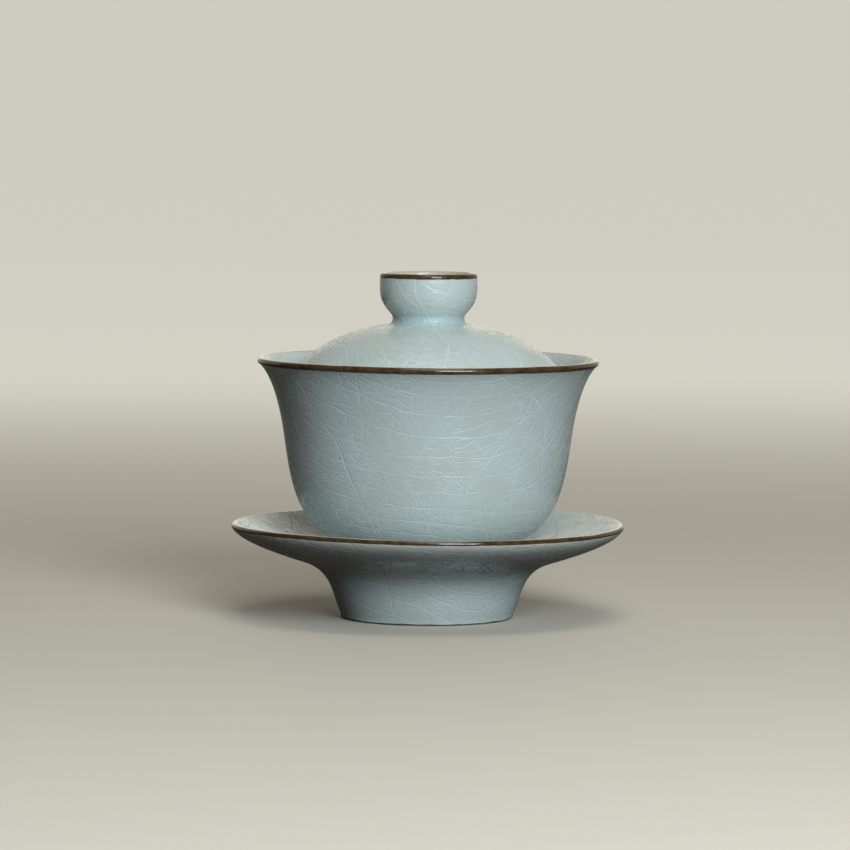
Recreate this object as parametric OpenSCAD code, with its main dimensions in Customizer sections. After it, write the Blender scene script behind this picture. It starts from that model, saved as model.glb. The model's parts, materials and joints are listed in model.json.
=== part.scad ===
// Gaiwan: a lidded tea bowl on its footed saucer, in three loose pieces of crackled celadon.
// Millimetres. +Z is up. The origin is the centre of the ring on which the saucer stands.
// Every clay part is a full turn of an outline given as [radius, height] points.

/* [Saucer] */
// Diameter over the saucer's lip
saucer_d = 109.8; // [104:0.2:116]
// Height of the centre of the saucer's rounded lip
saucer_lip_z = 25.6; // [24.6:0.1:27.6]
// Radius of the saucer's rounded lip
saucer_lip_r = 0.9; // [0.7:0.05:1.1]
// Height of the underside where the dish turns down into the foot
dish_bend_z = 16.1; // [15.8:0.1:16.6]
// Height of the joint between the thrown dish and the foot below it
dish_joint_z = 11.4; // [10.8:0.1:12]
// Diameter of the foot just above its ground edge
saucer_foot_d = 48.2; // [46:0.2:50]
// Diameter of the well that takes the bowl's foot
well_d = 43.2; // [42:0.2:45]
// Height of the well's floor
well_z = 14.8; // [14.4:0.1:15.2]

/* [Bowl] */
// Diameter over the bowl's lip
bowl_d = 95.4; // [93:0.2:98]
// Height of the bowl from its foot to the centre of its rounded lip
bowl_lip_z = 57.25; // [55:0.25:59]
// Radius of the bowl's rounded lip
bowl_lip_r = 0.9; // [0.7:0.05:1.1]
// Angle below level at which the flared lip turns into the outside wall
bowl_flare = 48; // [40:1:52]
// Diameter where the flare ends and the wall begins
bowl_waist_d = 82.2; // [81:0.2:84]
// Wall thickness at the floor
bowl_floor_t = 3; // [2.6:0.1:3.4]
// Height of the turned foot, from its edge to the bowl's underside
bowl_foot_h = 5.5; // [5:0.1:6]
// Diameter of the foot where it joins the bowl
bowl_foot_d = 40.4; // [39:0.2:41]

/* [Lid] */
// Diameter over the lid's edge
lid_d = 81.7; // [81:0.1:82.4]
// Rise of the dome from the centre of the lid's rounded edge to its crown
lid_rise = 19.1; // [18:0.1:20]
// Radius of the lid's rounded edge
lid_lip_r = 0.95; // [0.8:0.05:1.1]
// Thickness of the dome at its crown
lid_crown_t = 2.8; // [2.4:0.1:3.2]
// Gap all round between the lid's glazed edge and the bowl's wall
lid_play = 0.1; // [0.05:0.05:0.3]

/* [Knob] */
// Diameter over the knob's lip
knob_d = 27.2; // [26:0.1:28.4]
// Height of the centre of the knob's lip above the dome's crown
knob_lip_z = 12.65; // [11.5:0.05:13.5]
// Radius of the knob's rounded lip
knob_lip_r = 0.85; // [0.7:0.05:1]
// Depth of the knob's hollow below the centre of its lip
knob_hollow = 8.9; // [8:0.1:9.4]

/* [Finish] */
// Thickness of the iron-brown glaze on every lip
band_t = 0.15; // [0.1:0.01:0.25]
// Height of the foot edges that are left bare of glaze
bare_h = 0.6; // [0.4:0.1:0.8]
// Bevel of the foot edges
bevel = 0.6; // [0.4:0.1:0.8]

/* [Hidden] */
$fn = 180;

celadon = [0.68, 0.76, 0.76];
iron_brown = [0.25, 0.18, 0.12];
bare_clay = [0.62, 0.56, 0.48];

lip_steps = 12;   // straight pieces in a rounded lip
curve_steps = 28; // straight pieces in a long curve
bend_steps = 8;   // straight pieces in a short bend

// ---- Curves ----

function ray(angle) = [cos(angle), sin(angle)];

// Direction of travel down the outside of a rounded lip, at this angle round it
function outward_down(angle) = [sin(angle), -cos(angle)];

function arc(centre, r, from, to, n) =
    [for (i = [0:n]) centre + r * ray(from + (to - from) * i / n)];

function bezier_point(p, t) =
    pow(1 - t, 3) * p[0] + 3 * pow(1 - t, 2) * t * p[1]
    + 3 * (1 - t) * pow(t, 2) * p[2] + pow(t, 3) * p[3];

function bezier(p, n) = [for (i = [0:n]) bezier_point(p, i / n)];

function tail(path) = [for (i = [1:len(path) - 1]) path[i]];

function reversed(path) = [for (i = [len(path) - 1:-1:0]) path[i]];

// Unit normal at point i of a path, on the left of the direction of travel
function normal(path, i) =
    let (
        before = path[max(i - 1, 0)],
        after = path[min(i + 1, len(path) - 1)],
        way = (after - before) / norm(after - before)
    )
    [-way[1], way[0]];

// The path moved to its right by a distance that grows from t0 to t1 along it
function parallel(path, t0, t1) =
    let (n = len(path) - 1)
    [for (i = [0:n]) path[i] - (t0 + (t1 - t0) * i / n) * normal(path, i)];

// Radius of a falling path at height z
function radius_at(path, z) = lookup(z, [for (p = path) [p[1], p[0]]]);

// The stretch of a falling path above height z, or below it, ending on z itself
function above(path, z) =
    concat([for (p = path) if (p[1] > z) p], [[radius_at(path, z), z]]);

function below(path, z) =
    concat([[radius_at(path, z), z]], [for (p = path) if (p[1] < z) p]);

// A thin skin on the left of a path, thickest midway and nothing at its ends
function skin(path, t) =
    let (n = len(path) - 1)
    concat(
        [for (i = [0:n]) path[i] + t * sin(180 * i / n) * normal(path, i)],
        [for (i = [n - 1:-1:1]) path[i]]
    );

module turned(outline, colour) {
    color(colour) rotate_extrude() polygon(outline);
}

// ---- Saucer ----

saucer_lip = [saucer_d / 2 - saucer_lip_r, saucer_lip_z];
saucer_lip_low = -30; // the lip runs from this angle on the underside
saucer_lip_high = 112; // to this angle on the inside
saucer_lip_arc = arc(saucer_lip, saucer_lip_r, saucer_lip_low, saucer_lip_high, lip_steps);

dish_bend = [saucer_d / 2 - 19.4, dish_bend_z];
dish_slope = 18; // of the underside at the bend, in degrees
foot_neck = [saucer_foot_d / 2 + 2.9, 7.4]; // pulls the foot's concave side inwards
saucer_foot_low = [saucer_foot_d / 2, bevel];

// Underside from the lip to the bend, then the foot's side down to its edge
dish_under = bezier([
    saucer_lip_arc[0],
    saucer_lip_arc[0] + 3.9 * outward_down(saucer_lip_low),
    dish_bend + 8.2 * ray(dish_slope),
    dish_bend,
], curve_steps);
saucer_side = bezier([
    dish_bend,
    dish_bend - 9.2 * ray(dish_slope),
    foot_neck,
    saucer_foot_low,
], curve_steps);

// Inside of the dish from the lip to the well, and the well's rounded edge and wall
well_edge = [well_d / 2 + 1.2, well_z + 1.4];
dish_inside = bezier([
    saucer_lip_arc[lip_steps],
    saucer_lip_arc[lip_steps] - 9 * outward_down(saucer_lip_high),
    [well_edge[0] + 11, well_edge[1] + 1],
    well_edge,
], curve_steps);
well_wall = bezier([
    well_edge,
    well_edge - [0.8, 0.1],
    [well_d / 2, well_edge[1] - 0.2],
    [well_d / 2, well_z],
], bend_steps);

// Hollow under the saucer, from the foot's inside edge up to the flat ceiling
foot_wall = 3.1; // of the saucer's foot
saucer_foot_inner = saucer_foot_low - [foot_wall, 0];
saucer_foot_ceiling = [saucer_foot_inner[0] - 1, dish_joint_z];
saucer_hollow = bezier([
    saucer_foot_ceiling,
    saucer_foot_ceiling + [2, -1.5],
    saucer_foot_inner + [1, 5.4],
    saucer_foot_inner,
], curve_steps);

module saucer_dish() {
    turned(concat(
        [[0, dish_joint_z]],
        reversed(above(saucer_side, dish_joint_z)),
        tail(reversed(dish_under)),
        tail(saucer_lip_arc),
        tail(dish_inside),
        tail(well_wall),
        [[0, well_z]]
    ), celadon);
}

module saucer_foot() {
    turned(concat(
        above(below(saucer_side, dish_joint_z), bare_h),
        reversed(above(saucer_hollow, bare_h))
    ), celadon);
}

// Outline of a foot's bare edge: a level top and a bevelled ring under it
function foot_edge(outer, inner, z) = [
    [outer, z + bare_h],
    [inner, z + bare_h],
    [inner + bevel, z],
    [outer - bevel, z],
];

module saucer_foot_edge() {
    turned(foot_edge(
        radius_at(saucer_side, bare_h), radius_at(saucer_hollow, bare_h), 0
    ), bare_clay);
}

module saucer_rim_band() {
    turned(skin(reversed(concat([dish_under[1]], saucer_lip_arc)), band_t), iron_brown);
}

// ---- Bowl, with its foot at height 0 ----

bowl_lip = [bowl_d / 2 - bowl_lip_r, bowl_lip_z];
bowl_lip_arc = arc(bowl_lip, bowl_lip_r, 180 - bowl_flare, -bowl_flare, lip_steps);
bowl_lip_end = bowl_lip_arc[lip_steps];
bowl_waist = [bowl_waist_d / 2, bowl_lip_z - 16.3];
bowl_wall_way = [-0.19, -1]; // the wall leans in by this much at the waist
bowl_foot_top = [bowl_foot_d / 2, bowl_foot_h];

bowl_flare_side = bezier([
    bowl_lip_end,
    bowl_lip_end + 5 * outward_down(-bowl_flare),
    bowl_waist - 3.6 * bowl_wall_way,
    bowl_waist,
], curve_steps);
bowl_side = bezier([
    bowl_waist,
    bowl_waist + 13.1 * bowl_wall_way,
    [bowl_waist[0] - 2, bowl_foot_h + 3],
    bowl_foot_top,
], 2 * curve_steps);
bowl_outside = concat(bowl_flare_side, tail(bowl_side));

bowl_floor_z = bowl_foot_h + bowl_floor_t;
bowl_inside = concat(
    parallel(bowl_outside, 2 * bowl_lip_r, bowl_floor_t),
    [[0, bowl_floor_z - 0.3]] // the floor dips a little at its centre
);

foot_ring_wall = 3;  // of the bowl's foot
foot_recess = 4.6;   // depth of the hollow inside the bowl's foot
bowl_foot_low = [bowl_foot_d / 2 - 0.6, bare_h];

module bowl_body() {
    turned(concat(
        [[0, foot_recess], [bowl_foot_top[0] - 0.2, foot_recess]],
        reversed(bowl_outside),
        tail(reversed(bowl_lip_arc)),
        tail(bowl_inside)
    ), celadon);
}

module bowl_foot() {
    turned([
        [bowl_foot_top[0] - 0.2, foot_recess],
        bowl_foot_low,
        bowl_foot_low - [foot_ring_wall, 0],
        bowl_foot_low + [0.2 - foot_ring_wall, foot_recess - bare_h - 0.6],
        [bowl_foot_low[0] - foot_ring_wall - 0.4, foot_recess],
    ], celadon);
}

module bowl_foot_edge() {
    turned(foot_edge(bowl_foot_low[0], bowl_foot_low[0] - foot_ring_wall, 0), bare_clay);
}

module bowl_rim_band() {
    turned(skin(concat(bowl_lip_arc, [bowl_flare_side[1]]), band_t), iron_brown);
}

// ---- Lid, with the centre of its rounded edge at height 0 ----

lid_lip = [lid_d / 2 - lid_lip_r, 0];
lid_edge_way = 28; // the dome meets the edge at this many degrees from upright
lid_lip_arc = arc(lid_lip, lid_lip_r, lid_edge_way, lid_edge_way - 180, lip_steps);
dome_outside = bezier([
    [0, lid_rise],
    [0.46 * lid_d / 2, lid_rise],
    [0.81 * lid_d / 2, lid_rise * 0.73],
    lid_lip_arc[0],
], 2 * curve_steps);
dome_inside = concat(
    [[0, lid_rise - lid_crown_t]],
    tail(parallel(dome_outside, lid_crown_t, 2 * lid_lip_r))
);

// The knob stands on a flat seat cut into the crown
knob_seat_r = 11.2;
knob_seat_z = lookup(knob_seat_r, dome_outside);

// The centre of the lid's edge lies on a line at this distance inside the bowl's wall
lid_reach = lid_lip_r + band_t + lid_play;
lid_seat_line = parallel(bowl_outside, 2 * bowl_lip_r + lid_reach, bowl_floor_t + lid_reach);
lid_seat_z = lookup(lid_lip[0], [for (p = lid_seat_line) if (p[1] > bowl_lip_z / 2) p]);

module lid_dome() {
    turned(concat(
        [[0, knob_seat_z], [knob_seat_r, knob_seat_z]],
        [for (p = dome_outside) if (p[0] > knob_seat_r) p],
        tail(lid_lip_arc),
        tail(reversed(dome_inside))
    ), celadon);
}

module lid_rim_band() {
    turned(skin(lid_lip_arc, band_t), iron_brown);
}

// ---- Knob: a small cup on a short neck, also with the lid's edge at height 0 ----

knob_lip = [knob_d / 2 - knob_lip_r, lid_rise + knob_lip_z];
knob_lip_low = 2.5; // the lip meets the outside at this angle
knob_lip_arc = arc(knob_lip, knob_lip_r, 180, knob_lip_low, lip_steps);
knob_neck = [10.4, lid_rise + 2.05]; // where the cup turns into the neck
knob_outside = bezier([
    knob_lip_arc[lip_steps],
    knob_lip_arc[lip_steps] + 6.4 * outward_down(knob_lip_low),
    knob_neck + 4.7 * ray(50),
    knob_neck,
], curve_steps);
knob_neck_side = bezier([
    knob_neck,
    knob_neck - 0.8 * ray(50),
    [9.8, knob_seat_z + 0.5],
    [knob_seat_r, knob_seat_z],
], bend_steps);
knob_floor = [0, knob_lip[1] - knob_hollow];
knob_inside = bezier([
    knob_lip_arc[0],
    knob_lip_arc[0] - [0, 6.4],
    knob_floor + [9.6, 0.2],
    knob_floor,
], curve_steps);

module lid_knob() {
    turned(concat(
        [[0, knob_seat_z]],
        reversed(knob_neck_side),
        tail(reversed(knob_outside)),
        tail(reversed(knob_lip_arc)),
        tail(knob_inside)
    ), celadon);
}

module knob_rim_band() {
    turned(skin(concat(knob_lip_arc, [knob_outside[1]]), band_t), iron_brown);
}

// ---- The bowl stands in the saucer's well, and the lid sits in the bowl ----

module in_well() translate([0, 0, well_z]) children();
module in_bowl() translate([0, 0, well_z + lid_seat_z]) children();

saucer_dish();
saucer_foot();
saucer_foot_edge();
saucer_rim_band();
in_well() bowl_body();
in_well() bowl_foot();
in_well() bowl_foot_edge();
in_well() bowl_rim_band();
in_bowl() lid_dome();
in_bowl() lid_rim_band();
in_bowl() lid_knob();
in_bowl() knob_rim_band();
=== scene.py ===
"""The gaiwan's looks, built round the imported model: a crackled celadon bowl, lid and saucer with brown lips.

Every clay part is turned again, finer, from its CAD node's own outline. It gets the slight unevenness of
wheel work, softened corners, a roll of glaze above the bare foot, and lip glazes with wandering edges.
"""

import json
import math

import bpy
import numpy as np
from mathutils import Matrix, Vector


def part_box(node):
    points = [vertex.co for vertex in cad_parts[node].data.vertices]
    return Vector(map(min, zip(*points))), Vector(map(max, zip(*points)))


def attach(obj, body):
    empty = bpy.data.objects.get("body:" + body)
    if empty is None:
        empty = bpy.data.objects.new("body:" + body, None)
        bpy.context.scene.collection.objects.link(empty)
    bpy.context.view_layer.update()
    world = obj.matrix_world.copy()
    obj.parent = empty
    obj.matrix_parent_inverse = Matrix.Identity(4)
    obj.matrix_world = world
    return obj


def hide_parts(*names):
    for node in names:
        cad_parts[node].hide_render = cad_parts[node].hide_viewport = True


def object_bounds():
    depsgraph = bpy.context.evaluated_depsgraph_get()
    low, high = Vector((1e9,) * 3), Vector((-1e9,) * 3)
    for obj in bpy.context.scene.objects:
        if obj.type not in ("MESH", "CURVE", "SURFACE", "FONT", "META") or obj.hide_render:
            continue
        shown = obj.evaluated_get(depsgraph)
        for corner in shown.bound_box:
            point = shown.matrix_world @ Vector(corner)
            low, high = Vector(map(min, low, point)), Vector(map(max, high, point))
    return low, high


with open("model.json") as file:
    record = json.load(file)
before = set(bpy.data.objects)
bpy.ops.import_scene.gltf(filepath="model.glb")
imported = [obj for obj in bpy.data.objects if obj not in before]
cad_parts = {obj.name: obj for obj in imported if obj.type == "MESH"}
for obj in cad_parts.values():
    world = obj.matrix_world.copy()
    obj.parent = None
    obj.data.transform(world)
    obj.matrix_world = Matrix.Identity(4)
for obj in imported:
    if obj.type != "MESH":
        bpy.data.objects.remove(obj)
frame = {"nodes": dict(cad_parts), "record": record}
cad_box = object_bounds()

MM = 0.001
RECORD = frame["record"]
BODY_OF = {node: body for body, nodes in RECORD["behaviour"]["bodies"].items() for node in nodes}
SLOT_OF = {part["node"]: part["material_slot"] for part in RECORD["subparts"]}

LUTED = [("saucer_dish", "saucer_foot"), ("bowl_body", "bowl_foot"), ("lid_dome", "lid_knob")]
FOOT_EDGES = {"saucer_foot": "saucer_foot_edge", "bowl_foot": "bowl_foot_edge"}
LIPS = {
    "saucer_rim_band": "saucer_dish",
    "bowl_rim_band": "bowl_body",
    "lid_rim_band": "lid_dome",
    "knob_rim_band": "lid_knob",
}

# ---- Outlines: arrays of (radius, height), with the clay on the left of the way of travel ----

CORNER = math.radians(24)  # a sharper turn in an outline is a corner
WIDEST_TURN = math.radians(4)  # between two steps of a smooth stretch
LONGEST_STEP = 1.0 * MM
SAME_PLACE = 0.0001 * MM
CLOSE = 0.002 * MM


def cad_outline(node):
    """The node's outline, where its mesh meets the half-plane y = 0, x > 0. It starts on the axis if it can."""
    mesh = frame["nodes"][node].data
    on_seam = {v.index: v.co for v in mesh.vertices if abs(v.co.y) < SAME_PLACE and v.co.x > -SAME_PLACE}
    place = {i: (round(co.x / SAME_PLACE), round(co.z / SAME_PLACE)) for i, co in on_seam.items()}
    beside = {}
    for a, b in (edge.vertices for edge in mesh.edges):
        if a in place and b in place and math.dist(place[a], place[b]) > 2:
            beside.setdefault(place[a], set()).add(place[b])
            beside.setdefault(place[b], set()).add(place[a])
    ends = sorted(p for p in beside if len(beside[p]) == 1)
    # a closed outline starts at its highest point nearest the axis, which is hidden in every part here
    walk = [ends[0] if ends else min(beside, key=lambda p: (-p[1], p[0]))]
    while True:
        onward = [p for p in beside[walk[-1]] if p not in walk[-2:-1] and p != walk[0]]
        if not onward:
            break
        walk.append(onward[0])
    if ends:  # a flat disc reaches the axis with no seam of its own
        walk = [(0, walk[0][1])] * (walk[0][0] > 0) + walk + [(0, walk[-1][1])] * (walk[-1][0] > 0)
    outline = np.array(walk) * SAME_PLACE
    ahead = np.roll(outline, -1, axis=0)
    if np.sum(outline[:, 0] * ahead[:, 1] - ahead[:, 0] * outline[:, 1]) < 0:
        outline = outline[::-1] if ends else np.roll(outline[::-1], 1, axis=0)
    return outline


def turns_of(outline):
    """The turn at each point of a closed outline, positive where it is convex."""
    way_in = outline - np.roll(outline, 1, axis=0)
    way_out = np.roll(outline, -1, axis=0) - outline
    cross = way_in[:, 0] * way_out[:, 1] - way_in[:, 1] * way_out[:, 0]
    return np.arctan2(cross, np.sum(way_in * way_out, axis=1))


def gap_to(outline, point):
    """How far a point is from a closed outline."""
    start = outline
    way = np.roll(outline, -1, axis=0) - start
    share = np.sum((point - start) * way, axis=1) / np.maximum(np.sum(way * way, axis=1), 1e-18)
    return np.min(np.linalg.norm(start + np.clip(share, 0, 1)[:, None] * way - point, axis=1))


OUTLINES = {node: cad_outline(node) for node in frame["nodes"]}


def joint_points(node):
    """Which of the outline's points lie on another clay part of the same piece."""
    others = [n for n in OUTLINES if n != node and n not in LIPS and BODY_OF[n] == BODY_OF[node]]
    return np.array([any(gap_to(OUTLINES[n], point) < CLOSE for n in others) for point in OUTLINES[node]])


def softened(outline, fixed, radius):
    """The outline with its corners rounded, except fixed ones, and which of its points are still corners."""
    turns = turns_of(outline)
    points, corners = [], []
    for i, point in enumerate(outline):
        before, after = outline[i - 1] - point, outline[(i + 1) % len(outline)] - point
        if abs(turns[i]) < CORNER and not fixed[i]:
            points.append(point)
            corners.append(False)
        elif fixed[i] or point[0] < CLOSE:
            points.append(point)
            corners.append(True)
        else:
            lengths = np.linalg.norm(before), np.linalg.norm(after)
            cut = min(radius * math.tan(abs(turns[i]) / 2), 0.45 * lengths[0], 0.45 * lengths[1])
            a, b = point + before / lengths[0] * cut, point + after / lengths[1] * cut
            steps = math.ceil(abs(turns[i]) / (2 * WIDEST_TURN))
            for t in np.linspace(0, 1, steps + 1):
                points.append((1 - t) ** 2 * a + 2 * t * (1 - t) * point + t**2 * b)
                corners.append(False)
    return np.array(points), np.array(corners)


def smooth(points):
    """More points along a smooth stretch, on a curve through the given ones."""
    along = np.append(0, np.cumsum(np.linalg.norm(np.diff(points, axis=0), axis=1)))
    way = np.gradient(points, along, axis=0, edge_order=2 if len(points) > 2 else 1)
    heading = np.unwrap(np.arctan2(way[:, 1], way[:, 0]))
    finer = [points[:1]]
    for i in range(len(points) - 1):
        length = along[i + 1] - along[i]
        turn = abs(heading[i + 1] - heading[i])
        steps = max(math.ceil(length / LONGEST_STEP), math.ceil(turn / WIDEST_TURN))
        t = np.linspace(0, 1, steps + 1)[1:, None]
        finer.append(
            (2 * t**3 - 3 * t**2 + 1) * points[i]
            + (t**3 - 2 * t**2 + t) * length * way[i]
            + (3 * t**2 - 2 * t**3) * points[i + 1]
            + (t**3 - t**2) * length * way[i + 1]
        )
    return np.vstack(finer)


def rings_and_runs(outline, corners):
    """The outline sampled finely, and its smooth runs as lists of places in it, but none along the axis."""
    count = len(outline)
    at = np.flatnonzero(corners)
    rings, runs = [], []
    for n, start in enumerate(at):
        stop = at[(n + 1) % len(at)]
        members = np.arange(start, stop + 1 if stop > start else stop + count + 1) % count
        if np.all(outline[members, 0] < CLOSE):
            rings.append(outline[members[:1]])
            continue
        stretch = smooth(outline[members])
        first = sum(len(part) for part in rings)
        runs.append(np.arange(first, first + len(stretch)))
        rings.append(stretch[:-1])
    rings = np.vstack(rings)
    rings[rings[:, 0] < CLOSE, 0] = 0
    return rings, [run % len(rings) for run in runs]


# ---- Surfaces: grids of points, one ring of them for each point of an outline ----

SEGMENTS = 288
TURN = np.linspace(0, 2 * math.pi, SEGMENTS, endpoint=False)
AROUND = np.stack([np.cos(TURN), np.sin(TURN)], axis=1)


def wander(seed, lowest, highest):
    """A smooth random wave round the axis, about 1 high either way."""
    random = np.random.default_rng(seed)
    waves = np.arange(lowest, highest + 1)
    phases = random.uniform(0, 2 * math.pi, len(waves))
    heights = random.uniform(0.5, 1, len(waves)) / np.sqrt(waves)
    wave = np.sum(heights[:, None] * np.sin(waves[:, None] * TURN + phases[:, None]), axis=0)
    return wave / np.abs(wave).max()


def spun(rings):
    """The grid of a ring of points round the axis for each point of an outline."""
    across = rings[:, 0, None, None] * AROUND
    up = np.repeat(rings[:, 1, None, None], SEGMENTS, axis=1)
    return np.concatenate([across, up], axis=2)


def hand_made(grid):
    """The grid with the unevenness of wheel work, the same at one place for all parts, so they still touch."""
    x, y, z = grid[..., 0], grid[..., 1], grid[..., 2]
    turn, reach = np.arctan2(y, x), np.hypot(x, y) / (50 * MM)
    oval = (
        0.10 * np.sin(2 * turn + 0.9 + z / (60 * MM))
        + 0.06 * np.sin(3 * turn + 1.7 - z / (45 * MM))
        + 0.03 * np.sin(5 * turn + 0.4 + z / (20 * MM))
    )
    lifted = np.clip((z - 5 * MM) / (15 * MM), 0, 1) * reach**2
    high = np.clip((z - 30 * MM) / (40 * MM), 0, 1)
    wave = (0.26 - 0.2 * high) * np.sin(2 * turn) + 0.04 * np.sin(5 * turn + 0.3) - 0.16 * high * np.cos(turn)
    moved = grid.copy()
    moved[..., 0] += oval * MM * reach * np.cos(turn)
    moved[..., 1] += oval * MM * reach * np.sin(turn)
    moved[..., 2] += wave * MM * lifted
    return moved


def normals_of(grid, run):
    """The outward normals along one smooth run of a grid."""
    stretch = grid[run]
    middle = stretch[:, 0]
    along = np.append(0, np.cumsum(np.linalg.norm(np.diff(middle, axis=0), axis=1)))
    down_run = np.gradient(stretch, along, axis=0, edge_order=2 if len(run) > 2 else 1)
    round_axis = np.roll(stretch, -1, axis=1) - np.roll(stretch, 1, axis=1)
    normals = np.cross(round_axis, down_run)
    lengths = np.linalg.norm(normals, axis=2, keepdims=True)
    normals /= np.maximum(lengths, 1e-12)
    for end, inner in ((0, 1), (-1, -2)):
        if lengths[end].max() < 1e-12:  # on the axis
            normals[end] = [0, 0, np.sign(normals[inner, :, 2].mean())]
    return normals


def surface(name, grid, runs, run_normals, layers):
    """A closed mesh object of a grid's runs, shaded by the given normals, with the layers' values."""
    on_axis = np.hypot(grid[:, 0, 0], grid[:, 0, 1]) < CLOSE
    first = np.cumsum([0] + [1 if pole else SEGMENTS for pole in on_axis])
    vertices = np.vstack([grid[k, :1] if pole else grid[k] for k, pole in enumerate(on_axis)])
    here = np.arange(SEGMENTS)
    after = (here + 1) % SEGMENTS
    faces, loop_normals = [], []
    for run, normals in zip(runs, run_normals):
        for i in range(len(run) - 1):
            a, b = run[i], run[i + 1]
            corners = [(a, i, here), (a, i, after), (b, i + 1, after), (b, i + 1, here)]
            if on_axis[a]:
                corners = [corners[0], corners[2], corners[3]]
            if on_axis[b]:
                corners = [corners[0], corners[1], corners[2]]
            places = [first[k] + (0 * j if on_axis[k] else j) for k, _, j in corners]
            faces += np.stack(places, axis=1).tolist()
            loop_normals.append(np.stack([normals[row, j] for _, row, j in corners], axis=1).reshape(-1, 3))
    mesh = bpy.data.meshes.new(name)
    mesh.from_pydata(vertices.tolist(), [], faces)
    for layer, values in layers.items():
        spread = [np.resize(values[k], 1 if pole else SEGMENTS) for k, pole in enumerate(on_axis)]
        mesh.attributes.new(layer, "FLOAT", "POINT").data.foreach_set("value", np.concatenate(spread))
    mesh.shade_smooth()
    mesh.normals_split_custom_set(np.vstack(loop_normals).tolist())
    piece = bpy.data.objects.new(name, mesh)
    bpy.context.scene.collection.objects.link(piece)
    return piece


# ---- Clay parts ----

SOFTENED = 0.45 * MM  # radius that glaze gives a corner
WORN = 0.12 * MM  # radius of the bare edges
ROLL = 0.10 * MM  # how far the glaze's edge stands proud of the bare clay
ROLL_REACH = 0.5 * MM
THIN_REACH = 1.0 * MM  # how far a sharp curve thins or gathers the glaze round it


def rolled_edge(rings, bare_height):
    """Rings with the glaze swelling a little where it ends at the bare clay."""
    way = np.roll(rings, -1, axis=0) - np.roll(rings, 1, axis=0)
    outward = np.stack([way[:, 1], -way[:, 0]], axis=1) / np.linalg.norm(way, axis=1, keepdims=True)
    swell = ROLL * np.exp(-(((rings[:, 1] - bare_height) / ROLL_REACH) ** 2))
    moved = rings.copy()
    moved[:, 0] += swell * np.sign(outward[:, 0])
    return moved


def glaze_layers(rings, fixed):
    """For each ring: how thin the glaze is and how deeply it gathers."""
    closed = rings[0, 0] > CLOSE
    steps = np.linalg.norm(np.diff(rings, axis=0), axis=1)
    along = np.append(0, np.cumsum(steps))
    turns = np.where(fixed, 0, turns_of(rings))
    apart = np.abs(along[:, None] - along[None, :])
    if closed:
        whole = along[-1] + np.linalg.norm(rings[0] - rings[-1])
        apart = np.minimum(apart, whole - apart)
    bend = np.exp(-((apart / THIN_REACH) ** 2)) @ turns
    return {
        "thin": np.clip(bend / 1.6, 0, 1),
        "deep": np.clip(-bend / 0.8, 0, 1),
    }


def clay_part(node):
    """The grid, runs, normals and layers of one clay part."""
    outline, fixed = OUTLINES[node], joint_points(node)
    bare = node in FOOT_EDGES.values()
    points, corners = softened(outline, fixed, WORN if bare else SOFTENED)
    rings, runs = rings_and_runs(points, corners)
    inner = np.zeros(len(rings), bool)
    for point in np.vstack([outline[fixed], outline[outline[:, 0] < CLOSE]]):
        inner |= np.linalg.norm(rings - point, axis=1) < CLOSE
    layers = glaze_layers(rings, inner)
    if node in FOOT_EDGES:
        rings = rolled_edge(rings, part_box(FOOT_EDGES[node])[1].z)
    grid = hand_made(spun(rings))
    if node in FOOT_EDGES:
        above = grid[..., 2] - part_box(FOOT_EDGES[node])[1].z
        run_down = (0.11 + 0.09 * wander(7, 2, 24)) * MM
        grid[..., 2] -= run_down * np.exp(-((above / ROLL_REACH) ** 2))
    return {"grid": grid, "runs": runs, "normals": [normals_of(grid, run) for run in runs], "layers": layers}


def blend_shading(part, mate):
    """One glaze runs over a luted joint, so the two parts share their normals where they meet smoothly."""
    for run, normals in zip(part["runs"], part["normals"]):
        for mate_run, mate_normals in zip(mate["runs"], mate["normals"]):
            for end in (0, -1):
                for mate_end in (0, -1):
                    gap = np.abs(part["grid"][run[end]] - mate["grid"][mate_run[mate_end]]).max()
                    both = normals[end] + mate_normals[mate_end]
                    lengths = np.linalg.norm(both, axis=1, keepdims=True)
                    if gap < CLOSE and lengths.min() > 1.9:
                        normals[end] = mate_normals[mate_end] = both / lengths


# ---- Lip glazes ----

SUNK = 0.05 * MM  # the glaze's underside lies this far inside the clay
LIP_STEPS = 40

# For each lip: how far round it the glaze stays dark, as the slope of the surface in degrees above level,
# and how much of the CAD band's outer and inner edges the glaze falls short of. Above that slope the lip's top
# and inner side are painted pale: partly thin glaze, partly a painted highlight on the lit top.
LIP_LOOKS = {
    "saucer_rim_band": (48, 0.60 * MM, 0.1 * MM),
    "bowl_rim_band": (48, 0.28 * MM, 0.1 * MM),
    "lid_rim_band": (30, 0.10 * MM, 0.1 * MM),
    "knob_rim_band": (75, 0.20 * MM, 0.1 * MM),
}


def smoothstep(low, high, value):
    t = np.clip((value - low) / (high - low), 0, 1)
    return t * t * (3 - 2 * t)


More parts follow.
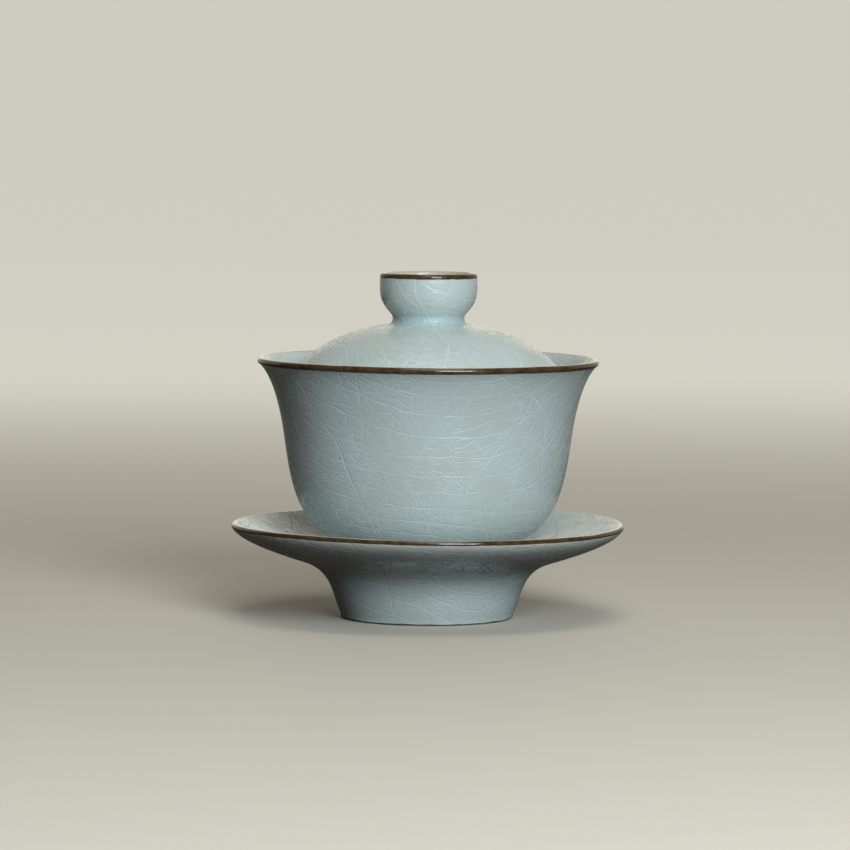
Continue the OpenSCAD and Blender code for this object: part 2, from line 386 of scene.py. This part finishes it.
def lip_part(node, seed):
    """The grid, runs, normals and layers of a lip's brown glaze, a thin skin with wandering edges."""
    wall, band = OUTLINES[LIPS[node]], OUTLINES[node]
    dark_to, short_outside, short_inside = LIP_LOOKS[node]
    covered = np.flatnonzero([np.min(np.linalg.norm(band - point, axis=1)) < CLOSE for point in wall])
    spare = 3  # points of the wall past each end
    path = smooth(wall[covered[0] - spare : covered[-1] + spare + 1])
    along = np.append(0, np.cumsum(np.linalg.norm(np.diff(path, axis=0), axis=1)))
    ends = [along[np.argmin(np.linalg.norm(path - wall[i], axis=1))] for i in (covered[0], covered[-1])]
    thickness = max(gap_to(wall, point) for point in band)
    low = ends[0] + short_outside + (0.07 * wander(seed, 3, 40) + 0.03 * wander(seed + 1, 30, 90)) * MM
    high = ends[1] - short_inside - (0.07 * wander(seed + 2, 3, 40) + 0.03 * wander(seed + 3, 30, 90)) * MM
    share = np.linspace(0, 1, LIP_STEPS + 1)
    where = low + (high - low) * share[:, None]
    way = np.gradient(path, along, axis=0, edge_order=2)
    base = np.stack([np.interp(where, along, path[:, axis]) for axis in (0, 1)], axis=2)
    outward = np.stack([np.interp(where, along, way[:, 1]), np.interp(where, along, -way[:, 0])], axis=2)
    height = (thickness + SUNK) * np.sin(math.pi * share)[:, None] ** 0.6 - SUNK * 0.4
    top = base + outward * (height * (1 + 0.12 * wander(seed + 4, 5, 50)))[..., None]
    under = base[-2:0:-1] - outward[-2:0:-1] * SUNK
    flat = np.concatenate([top, under])
    grid = hand_made(np.concatenate([flat[..., :1] * AROUND, flat[..., 1:]], axis=2))
    runs = [np.arange(LIP_STEPS + 1), np.append(np.arange(LIP_STEPS, len(grid)), 0)]
    # The brown is dark below each lip's slope limit. Above it, on the lip's top and inner side, it is pale, and
    # it is also pale where it thins at its lower edge. The pale top is partly thin glaze and partly a painted
    # highlight.
    slope = np.degrees(np.arctan2(outward[..., 1], outward[..., 0]))
    limit = dark_to + 9 * wander(seed + 5, 2, 30)
    iron = smoothstep(limit + 22, limit - 6, slope) * smoothstep(0.0, 0.12, share)[:, None]
    iron = np.concatenate([iron, np.zeros((len(under), SEGMENTS))])
    normals = [normals_of(grid, run) for run in runs]
    return {"grid": grid, "runs": runs, "normals": normals, "layers": {"iron": iron}}


# ---- Materials ----


class Finish:
    """A material's node tree, with a short call for each kind of node."""

    def __init__(self, slot):
        self.material = bpy.data.materials.new(slot + "_finish")
        self.material.use_nodes = True
        self.tree = self.material.node_tree
        self.tree.nodes.clear()
        self.place = self.add("ShaderNodeTexCoord").outputs["Object"]
        self.normal = self.add("ShaderNodeNewGeometry").outputs["Normal"]

    def add(self, kind, inputs=(), **settings):
        node = self.tree.nodes.new(kind)
        for name, value in settings.items():
            setattr(node, name, value)
        for key, value in dict(inputs).items():
            if isinstance(value, bpy.types.NodeSocket):
                self.tree.links.new(value, node.inputs[key])
            else:
                node.inputs[key].default_value = value
        return node

    def math(self, operation, *values, clamp=False):
        return self.add("ShaderNodeMath", enumerate(values), operation=operation, use_clamp=clamp).outputs[0]

    def vector(self, operation, *values):
        return self.add("ShaderNodeVectorMath", enumerate(values), operation=operation).outputs[0]

    def chance(self, x, y, z, output):
        """A random value or colour for each set of whole numbers."""
        place = self.add("ShaderNodeCombineXYZ", enumerate((x, y, z))).outputs[0]
        return self.add("ShaderNodeTexWhiteNoise", {"Vector": place}, noise_dimensions="3D").outputs[output]

    def layer(self, name):
        return self.add("ShaderNodeAttribute", attribute_name=name).outputs["Fac"]

    def noise(self, size, detail=2.0, place=None, output="Fac"):
        """Soft random values, from about 0.3 to 0.7, in lumps of this size."""
        inputs = {"Vector": place or self.place, "Scale": 1 / size, "Detail": detail}
        return self.add("ShaderNodeTexNoise", inputs).outputs[output]

    def rescale(self, value, low, high, to_low=0.0, to_high=1.0):
        inputs = enumerate((value, low, high, to_low, to_high))
        return self.add("ShaderNodeMapRange", inputs, interpolation_type="SMOOTHSTEP").outputs[0]

    def mix(self, share, a, b):
        a, b = ((*color, 1) if isinstance(color, tuple) else color for color in (a, b))
        inputs = {0: share, 6: a, 7: b}
        return self.add("ShaderNodeMix", inputs, data_type="RGBA").outputs[2]

    def shade(self, color, roughness, height, depth):
        """The shader and output, from a colour, a roughness and a height of 0 to 1 over a depth in metres."""
        bump = self.add("ShaderNodeBump", {"Height": height, "Strength": 1.0, "Distance": depth})
        shader = self.add(
            "ShaderNodeBsdfPrincipled",
            {"Base Color": color, "Roughness": roughness, "Normal": bump.outputs[0], "IOR": 1.5},
        )
        self.add("ShaderNodeOutputMaterial", {"Surface": shader.outputs[0]})
        return self.material


# Long cracks lie where slanted, slightly warped planes cut the surface: direction, spacing, seed.
# The first family sags across the front like hung threads; the others cross it on slants.
LONG_CRACKS = [
    ((0.15, -0.80, 1.0), 4.8 * MM, 3),
    ((0.90, -0.25, 0.35), 17 * MM, 11),
    ((-0.80, -0.30, 0.45), 19 * MM, 23),
]
CRACK_WIDTH = 0.38 * MM
CELL = 4.4 * MM
SMALL_CELL = 2.4 * MM
CELL_STRETCH = 1.5
CELL_DEPTH = 0.7  # how strong a younger crack is, to the strongest long one
PROBE = 0.03 * MM


def long_cracks(f, place, direction, distance, seed):
    """One family of long cracks. Gives the lines and the number of each lane between two of them."""
    direction = Vector(direction).normalized() / distance
    phase = f.add("ShaderNodeVectorMath", {0: place, 1: direction}, operation="DOT_PRODUCT").outputs["Value"]
    across = f.vector("CROSS_PRODUCT", f.normal, tuple(direction))
    steepness = f.add("ShaderNodeVectorMath", {0: across}, operation="LENGTH").outputs["Value"]
    nearest = f.math("FLOOR", f.math("ADD", phase, 0.5))
    off = f.math("ABSOLUTE", f.math("SUBTRACT", phase, nearest))
    off = f.math("DIVIDE", off, f.math("MAXIMUM", steepness, 5.0))
    strength = f.math("MULTIPLY_ADD", f.chance(nearest, seed, 0.0, "Value"), 1 - CELL_DEPTH, CELL_DEPTH)
    return f.math("MULTIPLY", f.rescale(off, CRACK_WIDTH, 0.0), strength), f.math("FLOOR", phase)


def cell_cracks(f, place, size, width):
    """The walls of random cells where they cut the surface, drawn equally thin at every slant."""
    here = f.add("ShaderNodeTexVoronoi", {"Vector": place, "Scale": 1 / size}, feature="DISTANCE_TO_EDGE")
    inside = f.vector("ADD", place, f.vector("MULTIPLY", f.normal, (PROBE, PROBE, PROBE)))
    there = f.add("ShaderNodeTexVoronoi", {"Vector": inside, "Scale": 1 / size}, feature="DISTANCE_TO_EDGE")
    here, there = here.outputs["Distance"], there.outputs["Distance"]
    lean = f.math("MULTIPLY", f.math("SUBTRACT", there, here), size / PROBE)
    upright = f.math("SQRT", f.math("MAXIMUM", f.math("SUBTRACT", 1.0, f.math("MULTIPLY", lean, lean)), 0.04))
    return f.rescale(f.math("DIVIDE", f.math("MULTIPLY", here, size), upright), width, 0.0)


def crackle(f):
    """Old long cracks, younger ones that end at them and patches of fine ones, and a tone per cell."""
    drift = f.vector("SUBTRACT", f.noise(42 * MM, 0.0, output="Color"), (0.5, 0.5, 0.5))
    wiggle = f.vector("SUBTRACT", f.noise(6 * MM, 1.0, output="Color"), (0.5, 0.5, 0.5))
    place = f.vector("ADD", f.place, f.vector("MULTIPLY", drift, (30 * MM, 30 * MM, 30 * MM)))
    place = f.vector("ADD", place, f.vector("MULTIPLY", wiggle, (1.6 * MM, 1.6 * MM, 1.6 * MM)))
    families = [long_cracks(f, place, *family) for family in LONG_CRACKS]
    shift = f.vector("MULTIPLY", f.chance(*(lane for _, lane in families), "Color"), (0.3, 0.3, 0.3))
    first = f.vector("ADD", f.vector("MULTIPLY", place, (1.0, 1.0, CELL_STRETCH)), shift)
    cracks = f.math("MULTIPLY", cell_cracks(f, first, CELL, 0.85 * CRACK_WIDTH), CELL_DEPTH)
    cell = f.add("ShaderNodeTexVoronoi", {"Vector": first, "Scale": 1 / CELL}, feature="F1").outputs["Color"]
    tone = f.add("ShaderNodeSeparateColor", {0: cell}).outputs[0]
    second = f.vector("ADD", place, f.vector("MULTIPLY", cell, (0.3, 0.3, 0.3)))
    dense = f.rescale(f.noise(24 * MM, 1.0), 0.36, 0.60, 0.3, 0.95)
    fine = cell_cracks(f, second, SMALL_CELL, 0.7 * CRACK_WIDTH)
    fine = f.math("MULTIPLY", fine, f.math("LESS_THAN", tone, dense))
    cracks = f.math("MAXIMUM", cracks, f.math("MULTIPLY", fine, 0.7 * CELL_DEPTH))
    for line, _ in families:
        cracks = f.math("MAXIMUM", cracks, line)
    healed = f.rescale(f.noise(9 * MM, 2.0), 0.36, 0.62, 0.5, 1.0)
    return f.math("MULTIPLY", cracks, healed), tone


def celadon_glaze(slot):
    """A satin grey-blue crackle glaze, creamier where it runs thin and deeper where it gathers."""
    f = Finish(slot)
    cracks, tone = crackle(f)
    cloud = f.rescale(f.noise(18 * MM, 3.0), 0.3, 0.7)
    color = f.mix(cloud, (0.46, 0.54, 0.515), (0.50, 0.585, 0.60))
    color = f.mix(f.math("MULTIPLY", tone, 0.18), color, (0.56, 0.63, 0.62))
    color = f.mix(f.math("MULTIPLY", f.layer("deep"), 0.6), color, (0.35, 0.485, 0.53))
    thin = f.math("MULTIPLY", f.layer("thin"), f.rescale(f.noise(3 * MM, 2.0), 0.3, 0.7, 0.5, 0.95))
    color = f.mix(thin, color, (0.62, 0.60, 0.50))
    color = f.mix(f.math("MULTIPLY", cracks, 0.32), color, (0.70, 0.78, 0.74))

    roughness = f.math("MULTIPLY_ADD", cracks, 0.45, f.rescale(f.noise(6 * MM, 3.0), 0.3, 0.7, 0.15, 0.25))
    ripple = f.math("MULTIPLY", f.noise(7 * MM, 2.0), 0.3)
    grain = f.math("MULTIPLY_ADD", f.noise(0.7 * MM, 2.0), 0.04, ripple)
    height = f.math("MULTIPLY_ADD", cracks, -0.5, grain)
    return f.shade(color, roughness, height, 0.165 * MM)


def iron_brown_glaze(slot):
    """Glossy iron-brown glaze, nearly black where it is thick, and a pale tan where it thins and on the lip's
    top, which is partly a painted highlight.
    """
    f = Finish(slot)
    streak = f.rescale(f.noise(2.6 * MM, 3.0), 0.3, 0.7)
    dark = f.mix(streak, (0.045, 0.028, 0.013), (0.085, 0.055, 0.029))
    patchy = f.math("MULTIPLY", f.math("SUBTRACT", f.noise(1.6 * MM, 2.0), 0.5), 0.3)
    iron = f.math("ADD", f.layer("iron"), patchy)
    # A pale tan where the iron layer is low: at the thinning lower edge, and on the lip's top, which is partly
    # a painted highlight.
    thin_edge_and_lit_top = f.mix(f.rescale(iron, 0.0, 0.5), (0.50, 0.455, 0.38), (0.24, 0.175, 0.115))
    color = f.mix(f.rescale(iron, 0.35, 0.75), thin_edge_and_lit_top, dark)
    return f.shade(color, f.rescale(streak, 0.0, 1.0, 0.08, 0.17), f.noise(1.5 * MM, 2.0), 0.01 * MM)


def bare_clay(slot):
    """Fired stoneware, ground flat, with fine grog."""
    f = Finish(slot)
    grog = f.rescale(f.noise(0.35 * MM, 3.0), 0.35, 0.65)
    stain = f.rescale(f.noise(5 * MM, 2.0), 0.3, 0.7)
    color = f.mix(grog, (0.16, 0.10, 0.065), f.mix(stain, (0.30, 0.21, 0.14), (0.40, 0.30, 0.21)))
    return f.shade(color, 0.85, grog, 0.03 * MM)


FINISHES = {
    slot: make(slot)
    for slot, make in {
        "celadon_glaze": celadon_glaze,
        "iron_brown_glaze": iron_brown_glaze,
        "bare_clay": bare_clay,
    }.items()
}


def add_piece(node, part):
    piece = surface(node + "_fired", part["grid"], part["runs"], part["normals"], part["layers"])
    piece.data.materials.append(FINISHES[SLOT_OF[node]])
    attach(piece, BODY_OF[node])
    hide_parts(node)


clay_parts = {node: clay_part(node) for node in OUTLINES if node not in LIPS}
for upper, lower in LUTED:
    blend_shading(clay_parts[upper], clay_parts[lower])
for node, part in clay_parts.items():
    add_piece(node, part)
for number, node in enumerate(LIPS):
    add_piece(node, lip_part(node, 100 + 10 * number))

# ---- Studio ----

CAMERA_BACK = 1.400  # in front of the axis
CAMERA_UP = 0.155
CAMERA_PITCH = math.radians(4.12)  # below level
CAMERA_ROLL = math.radians(0.35)
LENS = 211.6
AIM_LEFT = 0.8 * MM  # the object stands this far right of the view's middle

FLOOR_SEEN = (0.66, 0.625, 0.555)
FLOOR_BOUNCE = (0.075, 0.06, 0.05)  # what the floor gives back to the object, as a darker table would
WALL_SEEN = (0.62, 0.60, 0.53)
BACKDROP_GLOW = (0.43, 0.415, 0.365)


def camera():
    data = bpy.data.cameras.new("camera")
    data.lens = LENS
    data.sensor_width = 36
    data.clip_start = 0.05
    data.clip_end = 20
    view = bpy.data.objects.new("camera", data)
    aim = Matrix.Rotation(math.pi / 2 - CAMERA_PITCH, 4, "X") @ Matrix.Rotation(CAMERA_ROLL, 4, "Z")
    view.matrix_world = Matrix.Translation((-AIM_LEFT, -CAMERA_BACK, CAMERA_UP)) @ aim
    bpy.context.scene.collection.objects.link(view)
    bpy.context.scene.camera = view


def soft_light(name, azimuth, elevation, distance, size, watts, color):
    """A square soft box aimed at the object. Azimuth 0 is the camera's side and 90 the right."""
    data = bpy.data.lights.new(name, "AREA")
    data.size = size
    data.energy = watts
    data.color = color
    light = bpy.data.objects.new(name, data)
    light.visible_camera = False
    a, e = math.radians(azimuth), math.radians(elevation)
    way = Vector((math.sin(a) * math.cos(e), -math.cos(a) * math.cos(e), math.sin(e)))
    middle = (Vector(cad_box[0]) + Vector(cad_box[1])) / 2
    light.location = middle + way * distance
    light.rotation_euler = way.to_track_quat("Z", "Y").to_euler()
    bpy.context.scene.collection.objects.link(light)


def sweep():
    """A pale floor that curves up into a pale, evenly lit wall behind the object."""
    half, front, bend_start, bend, top = 3.0, -3.0, 1.1, 0.6, 2.4
    profile = [(front, 0), (0, 0), (bend_start, 0)]
    for step in range(1, 25):
        a = math.pi / 2 * step / 24
        profile.append((bend_start + bend * math.sin(a), bend - bend * math.cos(a)))
    profile.append((bend_start + bend, top))
    vertices = [(x, y, z) for x in (-half, half) for y, z in profile]
    count = len(profile)
    mesh = bpy.data.meshes.new("floor")
    mesh.from_pydata(vertices, [], [(i, i + count, i + count + 1, i + 1) for i in range(count - 1)])
    mesh.shade_smooth()
    mesh.materials.append(floor_material())
    floor = bpy.data.objects.new("floor", mesh)
    bpy.context.scene.collection.objects.link(floor)


def floor_material():
    f = Finish("floor")
    seen = f.add("ShaderNodeLightPath").outputs["Is Camera Ray"]
    black = (0.0, 0.0, 0.0)
    behind = f.rescale(f.add("ShaderNodeSeparateXYZ", {0: f.place}).outputs[1], 0.15, 1.2)
    far = f.add("ShaderNodeVectorMath", {0: f.place}, operation="LENGTH").outputs["Value"]
    away = f.rescale(far, 0.15, 1.2)
    color = f.mix(seen, FLOOR_BOUNCE, f.mix(away, FLOOR_SEEN, black))
    light = f.mix(seen, f.mix(behind, black, BACKDROP_GLOW), f.mix(away, black, WALL_SEEN))
    inputs = {"Base Color": color, "Roughness": 0.7, "Specular IOR Level": 0.1, "Emission Color": light}
    shader = f.add("ShaderNodeBsdfPrincipled", {**inputs, "Emission Strength": 1.0})
    f.add("ShaderNodeOutputMaterial", {"Surface": shader.outputs[0]})
    return f.material


def surroundings():
    """Pale where the camera looks past the floor, and dim as a source of light."""
    world = bpy.data.worlds.new("studio")
    bpy.context.scene.world = world
    world.use_nodes = True
    nodes, links = world.node_tree.nodes, world.node_tree.links
    seen = nodes.new("ShaderNodeBackground")
    seen.inputs["Color"].default_value = (*WALL_SEEN, 1)
    lit = nodes["Background"]
    lit.inputs["Color"].default_value = (0.80, 0.90, 1.0, 1)
    lit.inputs["Strength"].default_value = 0.012
    path = nodes.new("ShaderNodeLightPath")
    both = nodes.new("ShaderNodeMixShader")
    links.new(path.outputs["Is Camera Ray"], both.inputs[0])
    links.new(lit.outputs[0], both.inputs[1])
    links.new(seen.outputs[0], both.inputs[2])
    links.new(both.outputs[0], nodes["World Output"].inputs["Surface"])


camera()
sweep()
surroundings()
soft_light("key", 19, 19, 1.3, 0.50, 14.2, (0.90, 0.97, 1.0))
soft_light("upper_front", 8, 42, 1.3, 0.5, 2.2, (0.95, 1.0, 0.97))
soft_light("top", 10, 74, 1.3, 0.6, 4.2, (1.0, 0.93, 0.82))
soft_light("wall_return", 180, 12, 1.3, 0.8, 1.1, (1.0, 0.93, 0.78))

scene = bpy.context.scene
scene.view_settings.view_transform = "Standard"
scene.view_settings.look = "None"

bpy.context.view_layer.update()
